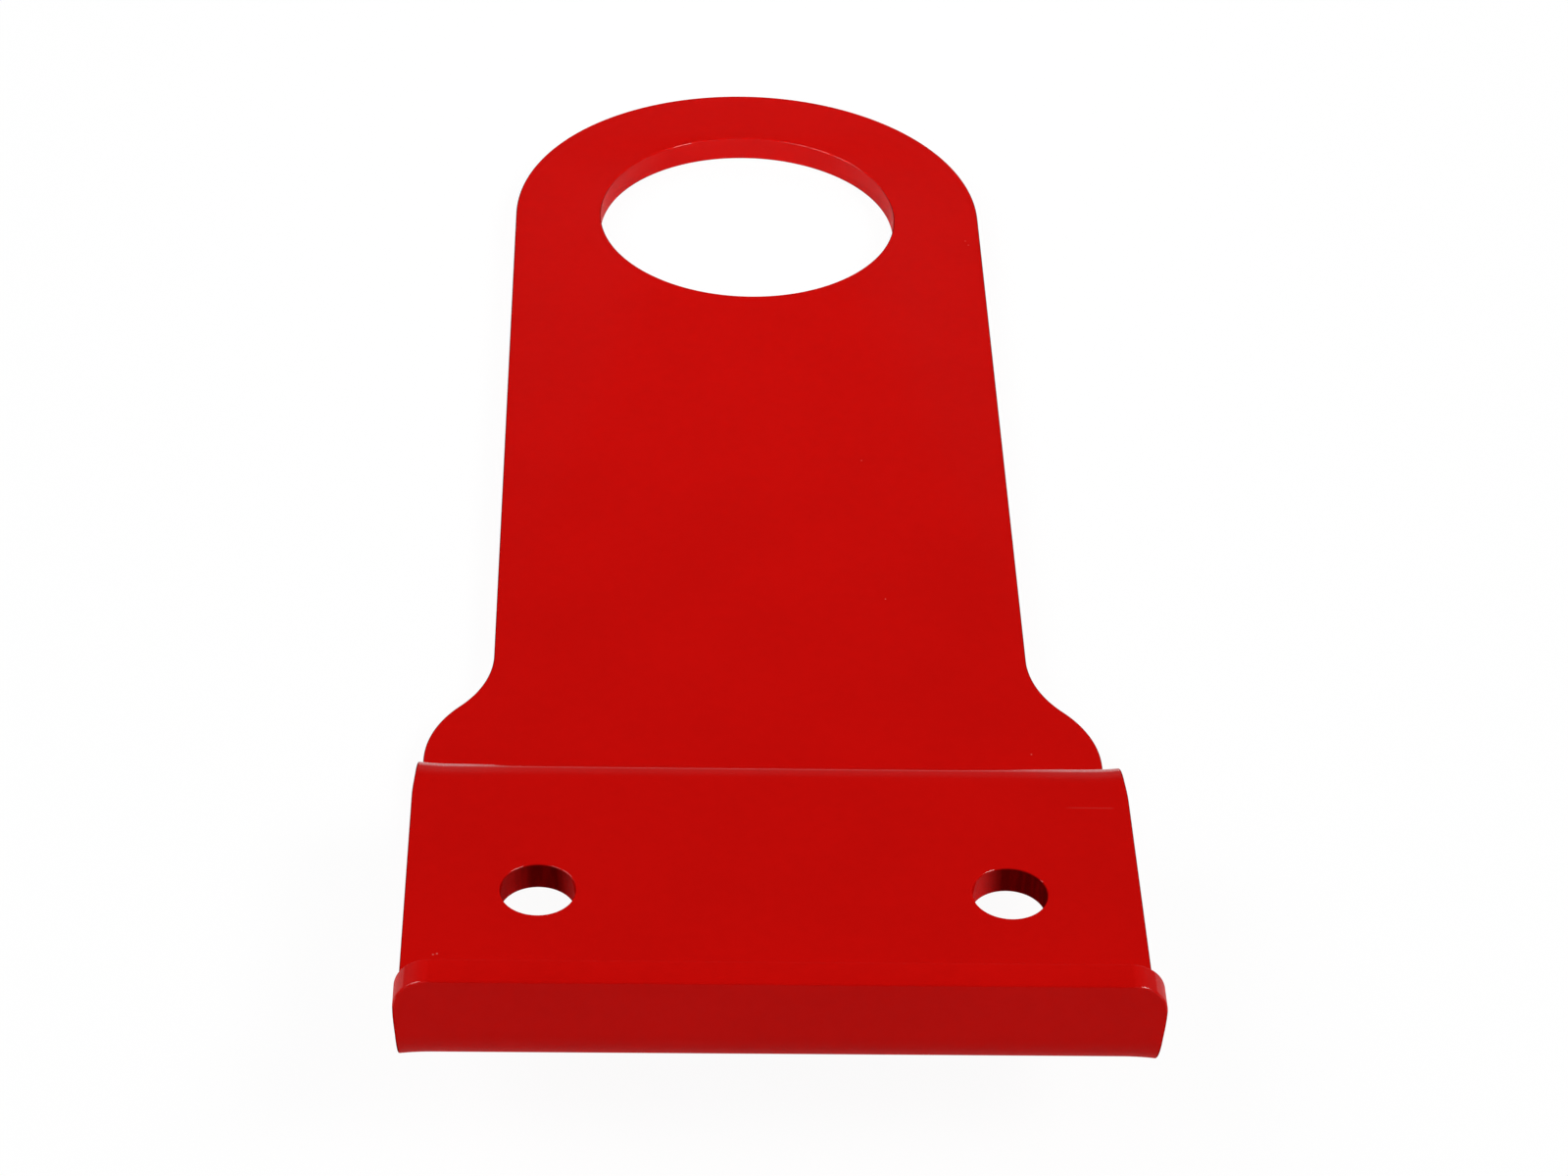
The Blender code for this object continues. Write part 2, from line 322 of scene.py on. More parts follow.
class StageLooks(bpy.types.PropertyGroup):
    """Floor, light and camera."""

    floor_radius: bpy.props.FloatProperty(
        name="Floor radius", description="Radius of the floor", default=5.0, min=0.5, unit="LENGTH")
    floor_glow: bpy.props.FloatProperty(
        name="Floor glow", description="Share of plain white that the camera sees in the floor",
        default=0.95, min=0.0, max=1.0)
    left_power: bpy.props.FloatProperty(
        name="Left softbox", description="Power of the left softbox", default=12.8, min=0.0, unit="POWER")
    right_power: bpy.props.FloatProperty(
        name="Right softbox", description="Power of the right softbox", default=16.0, min=0.0, unit="POWER")
    back_power: bpy.props.FloatProperty(
        name="Back light", description="Power of the low light behind the eye", default=3.4, min=0.0,
        unit="POWER")
    eye_power: bpy.props.FloatProperty(
        name="Eye spot", description="Power of the narrow light on the eye", default=0.022, min=0.0,
        unit="POWER")
    camera_place: bpy.props.FloatVectorProperty(
        name="Camera place", description="Where the camera stands", size=3,
        default=(-0.024333, -0.508847, 0.448795), subtype="TRANSLATION", unit="LENGTH", precision=5)
    camera_down: bpy.props.FloatProperty(
        name="Camera down", description="How far the camera looks down",
        default=math.radians(37.3134), subtype="ANGLE")
    camera_right: bpy.props.FloatProperty(
        name="Camera right", description="How far the camera looks to the right of +Y",
        default=math.radians(2.6953), subtype="ANGLE")
    camera_roll: bpy.props.FloatProperty(
        name="Camera roll", description="How far the camera leans to the left",
        default=math.radians(2.2689), subtype="ANGLE")
    camera_lens: bpy.props.FloatProperty(
        name="Lens", description="Focal length in millimetres on a sensor 36 mm wide",
        default=97.9746, min=10.0)


def arc(centre_x, centre_y, radius, start, end, segments):
    """Points along an arc, with both of its ends."""
    points = []
    for i in range(segments + 1):
        angle = start + (end - start) * i / segments
        points.append((centre_x + radius * math.cos(angle), centre_y + radius * math.sin(angle)))
    return points


def shoulder_turn(sizes):
    """Angle of each of a shoulder's two arcs, which meet on a tangent."""
    step = sizes.base_half_width - sizes.tongue_half_width
    return math.acos(max(0.0, 1 - step / (2 * sizes.shoulder_radius)))


def folded_runs(sizes):
    """The side view as (length, turn) runs along the plate's middle, lip edge first.

    A positive turn bends the plate up.
    """
    outer = sizes.bend_radius + sizes.thickness
    bend = QUARTER_TURN * (sizes.bend_radius + sizes.thickness / 2)
    lip = sizes.lip_height - sizes.bend_radius
    base = sizes.bolts_to_lip_face + sizes.bolts_to_riser_face - 2 * outer
    riser = sizes.tongue_drop - sizes.bend_radius - outer
    tongue_start = sizes.bolts_to_riser_face + sizes.bend_radius
    tongue = sizes.eye_centre + sizes.tongue_half_width - tongue_start
    return [
        (lip, 0.0), (bend, QUARTER_TURN), (base, 0.0), (bend, -QUARTER_TURN), (riser, 0.0),
        (bend, QUARTER_TURN), (tongue, 0.0)]


def run_starts(runs):
    """Where each run starts along the blank."""
    starts = [0.0]
    for length, _ in runs:
        starts.append(starts[-1] + length)
    return starts


def blank_places(sizes):
    """Places along the blank: the bolt line, the foot of the shoulders and the eye's centre."""
    starts = run_starts(folded_runs(sizes))
    outer = sizes.bend_radius + sizes.thickness
    bolts = starts[2] + sizes.bolts_to_lip_face - outer
    tongue_start = sizes.bolts_to_riser_face + sizes.bend_radius
    shoulders = starts[6] + sizes.shoulder_foot - tongue_start
    eye = starts[6] + sizes.eye_centre - tongue_start
    return bolts, shoulders, eye


def right_half_outline(sizes, facets):
    """The blank's right side, from the lip's edge round to the tip of the tongue."""
    _, shoulders, eye = blank_places(sizes)
    corner = sizes.lip_corner_radius
    radius = sizes.shoulder_radius
    turn = shoulder_turn(sizes)
    round_x = sizes.base_half_width - radius
    hollow_x = sizes.tongue_half_width + radius
    hollow_y = shoulders + 2 * radius * math.sin(turn)
    points = arc(sizes.base_half_width - corner, corner, corner, -QUARTER_TURN, 0.0, facets.lip_corner)
    points += arc(round_x, shoulders, radius, 0.0, turn, facets.shoulder)
    points += arc(hollow_x, hollow_y, radius, math.pi + turn, math.pi, facets.shoulder)
    points += arc(0.0, eye, sizes.tongue_half_width, 0.0, QUARTER_TURN, facets.tongue_end)
    return points


def without_repeats(points):
    """The same points, leaving out any that lies on the one before it."""
    kept = [points[0]]
    for point in points[1:]:
        if math.dist(point, kept[-1]) > WELD_DISTANCE:
            kept.append(point)
    return kept


def blank_outline(sizes, facets):
    """The whole outline, anticlockwise, with the left side mirrored from the right."""
    right = without_repeats(right_half_outline(sizes, facets))
    left = [(-x, y) for x, y in reversed(right[:-1])]
    return right + left


def hole_outline(centre_x, centre_y, diameter, segments):
    """A round hole, clockwise, so that its edges are broken into the plate and not into the hole."""
    return arc(centre_x, centre_y, diameter / 2, FULL_TURN, 0.0, segments)[:-1]


def add_spline(curve, points):
    """Adds a closed flat outline to the curve."""
    spline = curve.splines.new("POLY")
    spline.points.add(len(points) - 1)
    for target, (x, y) in zip(spline.points, points):
        target.co = (x, y, 0.0, 1.0)
    spline.use_cyclic_u = True


def blank_curve(sizes, facets):
    """The flat blank as a filled curve, with its holes and its broken edges."""
    bolts, _, eye = blank_places(sizes)
    curve = bpy.data.curves.new("blank", "CURVE")
    curve.dimensions = "2D"
    curve.fill_mode = "BOTH"
    curve.extrude = sizes.thickness / 2 - sizes.edge_radius
    curve.bevel_depth = sizes.edge_radius
    curve.bevel_resolution = facets.edge
    curve.offset = -sizes.edge_radius
    add_spline(curve, blank_outline(sizes, facets))
    add_spline(curve, hole_outline(0.0, eye, sizes.eye_diameter, facets.eye))
    for side in (-1, 1):
        centre_x = side * sizes.bolt_offset
        add_spline(curve, hole_outline(centre_x, bolts, sizes.bolt_hole_diameter, facets.bolt_hole))
    return curve


def mesh_from_curve(curve):
    """The curve as a closed mesh, its caps welded to its sides and each flat face a few large ones."""
    flat = add_object("blank", curve)
    depsgraph = bpy.context.evaluated_depsgraph_get()
    mesh = bpy.data.meshes.new_from_object(flat.evaluated_get(depsgraph))
    bpy.data.objects.remove(flat)
    bpy.data.curves.remove(curve)
    bm = bmesh.new()
    bm.from_mesh(mesh)
    bpy.data.meshes.remove(mesh)
    bmesh.ops.remove_doubles(bm, verts=bm.verts, dist=WELD_DISTANCE)
    bmesh.ops.dissolve_limit(bm, angle_limit=FLAT_ANGLE, verts=bm.verts, edges=bm.edges)
    return bm


def bend_spans(sizes):
    """Each bend along the blank: start, end and turn."""
    runs = folded_runs(sizes)
    starts = run_starts(runs)
    return [(starts[i], starts[i + 1], turn) for i, (_, turn) in enumerate(runs) if turn]


def cut_line(bm, place, axis, faces):
    """Splits the given faces along a line across the axis at the place."""
    edges = {edge for face in faces for edge in face.edges}
    verts = {vert for face in faces for vert in face.verts}
    geometry = list(verts) + list(edges) + list(faces)
    where = [0.0, 0.0, 0.0]
    where[axis] = place
    across = [0.0, 0.0, 0.0]
    across[axis] = 1.0
    bmesh.ops.bisect_plane(bm, geom=geometry, dist=WELD_DISTANCE, plane_co=where, plane_no=across)


def cut_bend_rows(bm, sizes, facets):
    """Rows across the blank at each bend, and beside it where the distortion of the bend's ends fades."""
    for start, end, _ in bend_spans(sizes):
        rows = [start + (end - start) * i / facets.bend for i in range(facets.bend + 1)]
        for i in range(1, facets.bend_fade + 1):
            fade = sizes.thickness * i / facets.bend_fade
            rows += [start - fade, end + fade]
        for row in rows:
            cut_line(bm, row, 1, bm.faces[:])


def cut_end_columns(bm, sizes, facets):
    """Short columns near both ends of each bend, closer together towards the plate's sides."""
    for start, end, _ in bend_spans(sizes):
        low = start - sizes.thickness - WELD_DISTANCE
        high = end + sizes.thickness + WELD_DISTANCE
        for i in range(1, facets.bend_end + 1):
            place = sizes.base_half_width - sizes.end_reach * (i / facets.bend_end) ** 2
            for side in (-1, 1):
                faces = [face for face in bm.faces if all(low < vert.co.y < high for vert in face.verts)]
                cut_line(bm, side * place, 0, faces)


def end_distortion(sizes, spans, x, y, height):
    """How a bend's end moves a point of the blank: in x, and along the plate's normal."""
    inset = sizes.base_half_width - abs(x)
    if inset >= sizes.end_reach:
        return 0.0, 0.0
    nearness = (1 - max(inset, 0.0) / sizes.end_reach) ** 2
    shift_x = 0.0
    shift_out = 0.0
    for start, end, turn in spans:
        reach = (end - start) / 2 + sizes.thickness
        along = (y - (start + end) / 2) / reach
        if abs(along) < 1:
            strength = nearness * math.cos(along * QUARTER_TURN) ** 2
            outer = -math.copysign(1.0, turn)
            skin = outer * height / (sizes.thickness / 2)
            inwards = skin * (sizes.end_draw if skin > 0 else sizes.end_swell)
            shift_x -= math.copysign(1.0, x) * inwards * strength
            shift_out += outer * sizes.end_flare * strength
    return shift_x, shift_out


def at_lip_corner(sizes, x, along):
    """Whether a point of the blank lies at one of the lip's rounded corners."""
    corner = sizes.lip_corner_radius
    return along < corner and abs(x) > sizes.base_half_width - corner


def coat_gloss(sizes, spans, eye, x, along, height):
    """Share of the full gloss: less on the lip's outside and in the eye, more at corners and the ridge."""
    eye_rim = sizes.eye_diameter / 2 + sizes.edge_radius
    if math.dist((x, along), (0.0, eye)) < eye_rim + WELD_DISTANCE:
        middle, side, start = EYE_WALL_GLOSS
        return middle + (side - middle) * max((abs(x) / eye_rim - start) / (1 - start), 0.0)
    skin = sizes.thickness / 2 - WELD_DISTANCE
    if at_lip_corner(sizes, x, along) and abs(height) < skin:
        return CORNER_GLOSS
    bend_start, bend_end, _ = spans[0]
    if height < 0:
        past_lip = max((along - bend_start) / (bend_end - bend_start), 0.0)
        return min(LIP_GLOSS + past_lip * UNDERSIDE_GAIN, 1.0)
    ridge_start, ridge_end, _ = spans[1]
    return RIDGE_GLOSS if ridge_start < along < ridge_end else 1.0


def at_lip_edge(sizes, along, height):
    """Whether a point of the blank lies on the lip's inner edge."""
    return along < sizes.edge_radius + WELD_DISTANCE and height > 0


def coat_cover(sizes, bolts, x, along, height):
    """Share of an edge kept clear of darkening: all at the lip's corners and inner edge, less in the bolt
    holes, none elsewhere.
    """
    if at_lip_edge(sizes, along, height) or at_lip_corner(sizes, x, along):
        return 1.0
    if math.dist((abs(x), along), (sizes.bolt_offset, bolts)) > sizes.bolt_hole_diameter:
        return 0.0
    side = -1 if x < 0 else 1
    across = (side * sizes.bolt_offset - x) / (sizes.bolt_hole_diameter / 2)
    at_left, at_right = HOLE_COVER_AND_LIGHT[0 if side < 0 else 1]
    most, start, full = at_left if across > 0 else at_right
    reached = min(max((abs(across) - start) / (full - start), 0.0), 1.0)
    return most * reached


def bolt_rim_beads(sizes, bolts, x, along):
    """Share of the beads of coat at a place on a bolt hole's rim."""
    side = -1 if x < 0 else 1
    turned = math.degrees(math.atan2(x - side * sizes.bolt_offset, along - bolts))
    for start, end, share in BOLT_RIM_BEADS[0 if side < 0 else 1]:
        if start < turned < end:
            return share
    return 0.0


def coat_beads(sizes, bolts, eye, x, along, height):
    """Share of the beads of coat: full on the eye's rim and the lip's corners, less on other rims.

    It also sets where cut edges get the lighter red, which is painted light.
    """
    if math.dist((abs(x), along), (sizes.bolt_offset, bolts)) < sizes.bolt_hole_diameter:
        return bolt_rim_beads(sizes, bolts, x, along)
    at_eye = math.dist((x, along), (0.0, eye)) < sizes.eye_diameter / 2 + sizes.thickness / 2
    if at_eye or at_lip_corner(sizes, x, along):
        return 1.0
    return LIP_EDGE_BEADS if at_lip_edge(sizes, along, height) else 0.0


def along_blank(sizes, y):
    """Place along the blank of a point on the base's or the tongue's top face."""
    bolts, _, eye = blank_places(sizes)
    if y < sizes.bolts_to_riser_face:
        return bolts + y
    return eye + y - sizes.eye_centre


def folded_point(runs, along, height):
    """Where a point of the blank goes, as (y, z), given its place along the blank and its height."""
    y = 0.0
    z = 0.0
    heading = -QUARTER_TURN
    for number, (length, turn) in enumerate(runs, 1):
        step = along if number == len(runs) else min(along, length)
        if turn:
            radius = length / turn
            turned = heading + turn * step / length
            y += radius * (math.sin(turned) - math.sin(heading))
            z -= radius * (math.cos(turned) - math.cos(heading))
            heading = turned
        else:
            y += step * math.cos(heading)
            z += step * math.sin(heading)
        along -= step
        if along <= 0:
            break
    return y - height * math.sin(heading), z + height * math.cos(heading)


def fold(bm, sizes):
    """Folds the blank, keeping each point's place on it and the coat's gloss, undarkened share and beads
    there.
    """
    layer = bm.verts.layers.float_vector.new(PLACE_LAYER)
    shares_layer = bm.verts.layers.float_vector.new(SHARES_LAYER)
    runs = folded_runs(sizes)
    spans = bend_spans(sizes)
    bolts, _, eye = blank_places(sizes)
    origin_y, origin_z = folded_point(runs, bolts, sizes.thickness / 2)
    for vert in bm.verts:
        x, y, height = vert.co
        vert[layer] = (x, y, height)
        gloss = coat_gloss(sizes, spans, eye, x, y, height)
        cover = coat_cover(sizes, bolts, x, y, height)
        vert[shares_layer] = (gloss, cover, coat_beads(sizes, bolts, eye, x, y, height))
        shift_x, shift_out = end_distortion(sizes, spans, x, y, height)
        folded_y, folded_z = folded_point(runs, y, height + shift_out)
        vert.co = (x + shift_x, folded_y - origin_y, folded_z - origin_z)


def pick_materials(bm, sizes):
    """Gives each face its material: 0 on the faces, 1 on the cut edges and 2 in the bolt holes."""
    layer = bm.verts.layers.float_vector[PLACE_LAYER]
    bolts, _, _ = blank_places(sizes)
    skin = sizes.thickness / 2 - WELD_DISTANCE
    reach = sizes.bolt_hole_diameter / 2 + 2 * sizes.edge_radius
    for face in bm.faces:
        places = [vert[layer] for vert in face.verts]
        face.smooth = True
        if all(abs(place.z) > skin for place in places):
            face.material_index = 0
        elif all(math.dist((abs(p.x), p.y), (sizes.bolt_offset, bolts)) < reach for p in places):
            face.material_index = 2
        else:
            face.material_index = 1


def folded_plate(sizes, facets):
    """The whole folded plate as a mesh object."""
    bm = mesh_from_curve(blank_curve(sizes, facets))
    cut_bend_rows(bm, sizes, facets)
    cut_end_columns(bm, sizes, facets)
    fold(bm, sizes)
    bmesh.ops.recalc_face_normals(bm, faces=bm.faces)
    pick_materials(bm, sizes)
    mesh = bpy.data.meshes.new(PIECE_NAME)
    bm.to_mesh(mesh)
    bm.free()
    plate = add_object(PIECE_NAME, mesh)
    normals = plate.modifiers.new("flat faces stay flat", "WEIGHTED_NORMAL")
    normals.weight = STRONGEST_FACES
    normals.keep_sharp = False
    return plate


class Shading:
    """Adds nodes to a material's or a group's tree, from left to right."""

    def __init__(self, tree):
        self.tree = tree
        self.count = 0

    def node(self, kind, **settings):
        """A new node with the given settings."""
        made = self.tree.nodes.new(kind)
        made.location = (220 * self.count, 0)
        self.count += 1
        for name, value in settings.items():
            setattr(made, name, value)
        return made

    def put(self, socket, value):
        """Links a socket to the value, or sets it where the value is a plain number or colour."""
        if isinstance(value, bpy.types.NodeSocket):
            self.tree.links.new(value, socket)
        else:
            socket.default_value = value

    def math(self, operation, first, second=0.0, clamp=False):
        """A Math node's result."""
        made = self.node("ShaderNodeMath", operation=operation, use_clamp=clamp)
        self.put(made.inputs[0], first)
        self.put(made.inputs[1], second)
        return made.outputs[0]

    def times(self, first, second, clamp=False):
        """One value times another."""
        return self.math("MULTIPLY", first, second, clamp)

    def most(self, first, second):
        """The greater of two values."""
        return self.math("MAXIMUM", first, second)

    def ramp(self, value, low, high, to_low=0.0, to_high=1.0):
        """The value taken smoothly from one range to another."""
        made = self.node("ShaderNodeMapRange", interpolation_type="SMOOTHSTEP")
        for name, given in zip(("Value", "From Min", "From Max", "To Min", "To Max"),
                               (value, low, high, to_low, to_high)):
            self.put(made.inputs[name], given)
        return made.outputs["Result"]

    def mix(self, amount, first, second):
        """A colour between two others."""
        made = self.node("ShaderNodeMix", data_type="RGBA")
        self.put(made.inputs[0], amount)
        self.put(made.inputs[6], first)
        self.put(made.inputs[7], second)
        return made.outputs[2]

    def noise(self, place, scale, detail=1.0):
        """A noise value between 0 and 1."""
        made = self.node("ShaderNodeTexNoise")
        self.put(made.inputs["Vector"], place)
        self.put(made.inputs["Scale"], scale)
        self.put(made.inputs["Detail"], detail)
        return made.outputs["Fac"]

    def split(self, place):
        """The three parts of a vector."""
        made = self.node("ShaderNodeSeparateXYZ")
        self.put(made.inputs[0], place)
        return made.outputs[0], made.outputs[1], made.outputs[2]


def new_group(name, inputs, outputs):
    """A shader group with named sockets: its tree, its helper, what it is given and its result.

    Its first input is the place on the blank. The others come with their defaults, where they have one.
    """
    group = bpy.data.node_groups.new(name, "ShaderNodeTree")
    for label, default in {"Place": None, **inputs}.items():
        kind = SOCKET_KINDS.get(label, "NodeSocketFloat")
        socket = group.interface.new_socket(label, in_out="INPUT", socket_type=kind)
        if default is not None:
            socket.default_value = default
    for label in outputs:
        kind = SOCKET_KINDS.get(label, "NodeSocketFloat")
        group.interface.new_socket(label, in_out="OUTPUT", socket_type=kind)
    shading = Shading(group)
    given = shading.node("NodeGroupInput").outputs
    return group, shading, given, shading.node("NodeGroupOutput").inputs


def coat_relief_group():
    """The coat's own surface: long waves of orange peel with a finer ripple on them."""
    group, shading, given, result = new_group("Coat Relief", {"Size": 0.002, "Depth": 0.00001}, ["Height"])
    waves = shading.noise(given["Place"], shading.math("DIVIDE", 1.0, given["Size"]))
    ripple = shading.noise(given["Place"], shading.math("DIVIDE", RIPPLE_SCALE, given["Size"]))
    both = shading.math("ADD", waves, shading.times(ripple, RIPPLE_SHARE))
    shading.put(result["Height"], shading.times(both, given["Depth"]))
    return group


def coat_mottle_group():
    """Slow changes of tone in the coat, where it lies thicker or thinner."""
    group, shading, given, result = new_group(
        "Coat Mottle", {"Colour": None, "Amount": 0.1}, ["Colour", "Tone"])
    broad, fine = (shading.times(shading.noise(given["Place"], scale, FINE_DETAIL), share)
                   for scale, share in MOTTLE)
    tone = shading.math("ADD", broad, fine)
    spread = shading.ramp(tone, *NOISE_SPAN, -1.0, 1.0)
    share = shading.times(spread, given["Amount"])
    brightness = shading.node("ShaderNodeHueSaturation")
    shading.put(brightness.inputs["Color"], given["Colour"])
    shading.put(brightness.inputs["Value"], shading.math("ADD", share, 1.0))
    shading.put(result["Colour"], brightness.outputs["Color"])
    shading.put(result["Tone"], tone)
    return group


def dust_nibs_group():
    """Tiny grains caught in the coat, far apart and each a fraction of a millimetre."""
    group, shading, given, result = new_group(
        "Dust Nibs", {"Spacing": 0.006, "Size": 0.0002, "Share": 0.2}, ["Mask"])
    cells = shading.node("ShaderNodeTexVoronoi", feature="F1")
    shading.put(cells.inputs["Vector"], given["Place"])
    shading.put(cells.inputs["Scale"], shading.math("DIVIDE", 1.0, given["Spacing"]))
    chance, _, _ = shading.split(cells.outputs["Color"])
    chosen = shading.math("LESS_THAN", chance, given["Share"])
    distance = shading.times(cells.outputs["Distance"], given["Spacing"])
    core = shading.times(given["Size"], DUST_CORE)
    near = shading.ramp(distance, core, given["Size"], 1.0, 0.0)
    shading.put(result["Mask"], shading.times(near, chosen))
    return group


def cut_wall_group():
    """Where a point lies between the plate's skins, and the streaks that cutting left there."""
    group, shading, given, result = new_group(
        "Cut Wall", {"Thickness": 0.005, "Edge": 0.0003, "Pitch": 0.001}, ["Wall", "Rim", "Streak"])
    x, y, height = shading.split(given["Place"])
    half = shading.times(given["Thickness"], 0.5)
    depth = shading.math("SUBTRACT", half, shading.math("ABSOLUTE", height))
    share = shading.math("DIVIDE", depth, given["Edge"], clamp=True)
    rest = shading.math("SUBTRACT", 1.0, share)
    # Both are a half in the middle of a broken edge, where the rim's mask is 1.
    rim = shading.times(shading.times(share, rest), 4.0)
    across = shading.node("ShaderNodeCombineXYZ")
    for socket, value in zip(across.inputs, (x, y, shading.times(height, STREAK_STRETCH))):
        shading.put(socket, value)
    scale = shading.math("DIVIDE", 1.0, given["Pitch"])
    shading.put(result["Wall"], share)
    shading.put(result["Rim"], rim)
    shading.put(result["Streak"], shading.noise(across.outputs[0], scale, FINE_DETAIL))
    return group


def rim_glints_group():
    """Gloss of the beads of coat along a rim, where it faces whoever looks at it. Grains can break them."""
    group, shading, given, result = new_group(
        "Rim Glints", {"Rim": 0.0, "Facing": 0.0, "Share": 1.0, "Gloss": 1.0, "Unbroken": 0.0}, ["Gloss"])
    grains = shading.noise(given["Place"], GRAIN_SCALE, FINE_DETAIL)
    grains = shading.math("ADD", grains, given["Unbroken"])
    beads = shading.ramp(grains, *GRAIN_SPAN, 0.0, given["Gloss"])
    beads = shading.times(beads, given["Share"])
    seen = shading.times(shading.ramp(given["Facing"], *BEAD_FACING, 1.0, 0.0), given["Rim"])
    shading.put(result["Gloss"], shading.times(beads, seen))
    return group


def opaque(colour):
    """A colour property with its alpha."""
    return (*colour, 1.0)


class Coat(Shading):
    """One of the plate's coats: its material, its shader and what the fold stored for it."""

    def __init__(self, name, groups, looks):
        self.material = bpy.data.materials.new(name)
        self.material.use_nodes = True
        self.material.diffuse_color = opaque(looks.red)
        super().__init__(self.material.node_tree)
        self.groups = groups
        self.shader = self.tree.nodes["Principled BSDF"]
        self.feed("Specular IOR Level", looks.specular)
        self.feed("Coat Roughness", GLOSS_ROUGHNESS)
        self.place = self.stored(PLACE_LAYER)
        self.gloss, self.cover, self.beads = self.split(self.stored(SHARES_LAYER))
        self.relief = self.use("relief", Size=looks.peel_size, Depth=looks.peel_depth)["Height"]

    def stored(self, layer):
        """What one of the mesh's layers holds."""
        return self.node("ShaderNodeAttribute", attribute_name=layer).outputs["Vector"]

    def use(self, name, **values):
        """Places a group in the tree, with its inputs linked or set by name, and gives its outputs."""
        made = self.node("ShaderNodeGroup", node_tree=self.groups[name])
        for label, value in {"Place": self.place, **values}.items():
            self.put(made.inputs[label], value)
        return made.outputs

    def feed(self, name, value):
        """Links one of the shader's inputs to the value, or sets it."""
        self.put(self.shader.inputs[name], value)

    def bump(self, height):
        """Feeds a height in metres to the shader's normal."""
        made = self.node("ShaderNodeBump")
        for name, value in (("Strength", 1.0), ("Distance", 1.0), ("Height", height)):
            self.put(made.inputs[name], value)
        self.feed("Normal", made.outputs["Normal"])


class CutCoat(Coat):
    """The coat on a cut: it also has the wall's masks and how far a point faces away."""

    def __init__(self, name, groups, sizes, looks):
        super().__init__(name, groups, looks)
        self.looks = looks
        self.feed("Coat IOR", RIM_COAT_IOR)
        self.wall = self.use(
            "wall", Thickness=sizes.thickness, Edge=sizes.edge_radius, Pitch=looks.streak_pitch)
        self.facing = self.node("ShaderNodeLayerWeight").outputs["Facing"]

    def dress(self, red, darkened, gloss, unbroken):
        """Colours the cut from its red towards a dark red of painted shade and thinner coat, with its gloss
        and rim beads.
        """
        mottle = self.use("mottle", Colour=red, Amount=EDGE_MOTTLE)
        self.feed("Base Color", self.mix(darkened, mottle["Colour"], opaque(self.looks.thin_coat_and_shade_red)))
        glints = self.use("glints", Rim=self.wall["Rim"], Facing=self.facing, Share=self.beads,
                          Gloss=self.looks.glint_gloss, Unbroken=unbroken)
        smooth = self.times(self.wall["Wall"], gloss)
        self.feed("Coat Weight", self.most(smooth, glints["Gloss"]))


def speck_mask(coat, sizes):
    """The dust specks on the top faces."""
    mask = 0.0
    for x, y in DUST_SPECKS:
        away = coat.node("ShaderNodeVectorMath", operation="DISTANCE")
        coat.put(away.inputs[0], coat.place)
        coat.put(away.inputs[1], (x, along_blank(sizes, y), sizes.thickness / 2))
        speck = coat.ramp(away.outputs["Value"], SPECK_SIZE * DUST_CORE, SPECK_SIZE, SPECK_SHARE, 0.0)
        mask = coat.most(speck, mask)
    return mask


def press_line_mask(coat, sizes):
    """The faint line that the press left on the base beside the ridge."""
    start, end, y = PRESS_LINE
    start_fade, end_fade = PRESS_LINE_FADES
    x, along, height = coat.split(coat.place)
    off = coat.math("ABSOLUTE", coat.math("SUBTRACT", along, along_blank(sizes, y)))
    line = coat.ramp(off, 0.0, PRESS_LINE_WIDTH, PRESS_LINE_SHARE, 0.0)
    line = coat.times(line, coat.ramp(x, start, start + start_fade))
    line = coat.times(line, coat.ramp(x, end - end_fade, end, 1.0, 0.0))
    return coat.times(line, coat.math("GREATER_THAN", height, 0.0))


def ridge_end_gloss(coat):
    """What the ridge's two ends have over the gloss of its middle."""
    start, full, times = RIDGE_ENDS
    x, _, _ = coat.split(coat.place)
    ends = coat.ramp(coat.math("ABSOLUTE", x), start, full, 0.0, times)
    over = coat.most(coat.math("SUBTRACT", coat.gloss, 1.0), 0.0)
    return coat.times(over, ends)


def face_coat(groups, sizes, looks):
    """Coat on the plate's rolled faces: orange peel, slow mottle, dust and the press's line."""
    coat = Coat("red_coat_on_faces", groups, looks)
    mottle = coat.use("mottle", Colour=opaque(looks.red), Amount=FACE_MOTTLE)
    nibs = coat.use("nibs", Spacing=NIB_SPACING, Size=NIB_SIZE, Share=NIB_SHARE)
    dust = coat.most(nibs["Mask"], speck_mask(coat, sizes))
    pale = coat.most(dust, press_line_mask(coat, sizes))
    coat.feed("Base Color", coat.mix(pale, mottle["Colour"], opaque(looks.dust)))
    low = looks.roughness - ROUGHNESS_SPREAD
    high = looks.roughness + ROUGHNESS_SPREAD
    coat.feed("Roughness", coat.ramp(mottle["Tone"], *NOISE_SPAN, low, high))
    gloss = coat.math("ADD", coat.gloss, ridge_end_gloss(coat))
    coat.feed("Coat Weight", coat.times(gloss, looks.gloss))
    coat.bump(coat.relief)
    return coat.material


